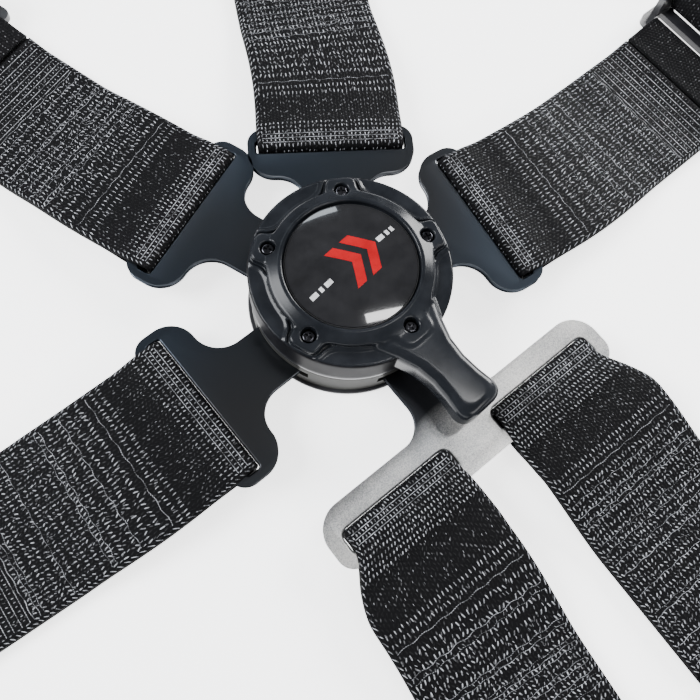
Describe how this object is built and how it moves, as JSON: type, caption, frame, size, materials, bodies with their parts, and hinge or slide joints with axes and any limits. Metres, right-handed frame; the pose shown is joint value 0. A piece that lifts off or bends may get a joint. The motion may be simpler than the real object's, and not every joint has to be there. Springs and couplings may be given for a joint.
{
  "type": "racing harness",
  "caption": "Racing harness with a rotary quick-release buckle, metal tongues, black webbing belts with slide adjusters, stowed webbing and flat bolt-in end plates",
  "frame": {"origin": "centre of the buckle's back face, on the table", "axes": "+Z out of the buckle's face, +Y towards the shoulder belts, +X towards the wearer's left"},
  "size_m": [0.7493, 0.7398, 0.0308],
  "materials": {
    "black_coat": "satin black powder coat",
    "satin_silver": "satin cast alloy",
    "steel": "bare turned and stamped steel",
    "screw_steel": "zinc plated",
    "lever_black": "smooth satin black over cast alloy",
    "badge": "black disc",
    "badge_resin": "clear domed resin over black",
    "tongue_steel": "black chrome, polished",
    "crotch_steel": "fine satin nickel",
    "webbing": "black woven polyester",
    "elastic": "black knitted elastic",
    "bar_steel": "bright knurled steel"
  },
  "bodies": {
    "buckle": {"base_plate": "black_coat", "housing": "satin_silver", "top_cover": "black_coat", "base_screws": "screw_steel", "centre_post": "steel", "retaining_clip": "steel", "held_pin": "steel", "return_spring": "steel", "lap_right_tongue": "tongue_steel", "lap_right_link_strap": "webbing", "lap_right_adjuster": "black_coat", "lap_right_strap": "webbing", "lap_right_keeper": "elastic", "lap_right_anchor": "tongue_steel"},
    "latch": {"latch_pins": "steel", "release_plate": "steel", "latch_springs": "steel"},
    "lever": {"cam_disc": "steel", "lever": "lever_black", "lever_screws": "screw_steel", "badge_backing": "badge", "badge_dome": "badge_resin"},
    "shoulder_left_belt": {"shoulder_left_tongue": "tongue_steel", "shoulder_left_link_strap": "webbing", "shoulder_left_adjuster": "black_coat", "shoulder_left_strap": "webbing", "shoulder_left_keeper": "elastic", "shoulder_left_anchor": "tongue_steel"},
    "shoulder_left_bar": {"shoulder_left_lock_bar": "bar_steel"},
    "shoulder_right_belt": {"shoulder_right_tongue": "tongue_steel", "shoulder_right_link_strap": "webbing", "shoulder_right_adjuster": "black_coat", "shoulder_right_strap": "webbing", "shoulder_right_keeper": "elastic", "shoulder_right_anchor": "tongue_steel"},
    "shoulder_right_bar": {"shoulder_right_lock_bar": "bar_steel"},
    "lap_left_belt": {"lap_left_tongue": "tongue_steel", "lap_left_link_strap": "webbing", "lap_left_adjuster": "black_coat", "lap_left_strap": "webbing", "lap_left_keeper": "elastic", "lap_left_anchor": "tongue_steel"},
    "lap_left_bar": {"lap_left_lock_bar": "bar_steel"},
    "lap_right_bar": {"lap_right_lock_bar": "bar_steel"},
    "crotch_belt": {"crotch_tongue": "crotch_steel", "crotch_right_link_strap": "webbing", "crotch_right_adjuster": "black_coat", "crotch_right_strap": "webbing", "crotch_right_keeper": "elastic", "crotch_right_anchor": "tongue_steel", "crotch_left_link_strap": "webbing", "crotch_left_adjuster": "black_coat", "crotch_left_strap": "webbing", "crotch_left_keeper": "elastic", "crotch_left_anchor": "tongue_steel"},
    "crotch_right_bar": {"crotch_right_lock_bar": "bar_steel"},
    "crotch_left_bar": {"crotch_left_lock_bar": "bar_steel"}
  },
  "joints": [
    {"name": "lever_turn", "type": "hinge", "parent": "buckle", "child": "lever", "pos_m": [0, 0, 0.018], "axis": [0, 0, 1], "range_deg": [0, 40], "stiffness_Nm_per_rad": 0.02, "springref_deg": -11.46},
    {"name": "latch_lift", "type": "slide", "parent": "buckle", "child": "latch", "axis": [0, 0, 1], "range_m": [0, 0.002], "deforming": ["latch_springs"]},
    {"name": "shoulder_left_eject", "type": "slide", "parent": "buckle", "child": "shoulder_left_belt", "axis": [0.5878, 0.809, 0], "range_m": [0, 0.002]},
    {"name": "shoulder_left_lock_slide", "type": "slide", "parent": "shoulder_left_belt", "child": "shoulder_left_bar", "axis": [0.4848, 0.8746, 0], "range_m": [0, 0.0025]},
    {"name": "shoulder_right_eject", "type": "slide", "parent": "buckle", "child": "shoulder_right_belt", "axis": [-0.3338, 0.9426, 0], "range_m": [0, 0.002]},
    {"name": "shoulder_right_lock_slide", "type": "slide", "parent": "shoulder_right_belt", "child": "shoulder_right_bar", "axis": [-0.2672, 0.9636, 0], "range_m": [0, 0.0025]},
    {"name": "lap_left_eject", "type": "slide", "parent": "buckle", "child": "lap_left_belt", "axis": [0.9877, -0.1564, 0], "range_m": [0, 0.002]},
    {"name": "lap_left_lock_slide", "type": "slide", "parent": "lap_left_belt", "child": "lap_left_bar", "axis": [0.9998, -0.0175, 0], "range_m": [0, 0.0025]},
    {"name": "lap_right_lock_slide", "type": "slide", "parent": "buckle", "child": "lap_right_bar", "axis": [-0.9947, 0.1028, 0], "range_m": [0, 0.0025]},
    {"name": "crotch_eject", "type": "slide", "parent": "buckle", "child": "crotch_belt", "axis": [-0.0349, -0.9994, 0], "range_m": [0, 0.002]},
    {"name": "crotch_right_lock_slide", "type": "slide", "parent": "crotch_belt", "child": "crotch_right_bar", "axis": [-0.1478, -0.989, 0], "range_m": [0, 0.0025]},
    {"name": "crotch_left_lock_slide", "type": "slide", "parent": "crotch_belt", "child": "crotch_left_bar", "axis": [-0.0663, -0.9978, 0], "range_m": [0, 0.0025]}
  ],
  "couplings": [
    {"joint": "latch_lift", "follows": "lever_turn", "m_per_rad": 0.0028648},
    {"joint": "shoulder_left_eject", "follows": "lever_turn", "m_per_rad": 0.0028648},
    {"joint": "shoulder_right_eject", "follows": "lever_turn", "m_per_rad": 0.0028648},
    {"joint": "lap_left_eject", "follows": "lever_turn", "m_per_rad": 0.0028648},
    {"joint": "crotch_eject", "follows": "lever_turn", "m_per_rad": 0.0028648}
  ]
}
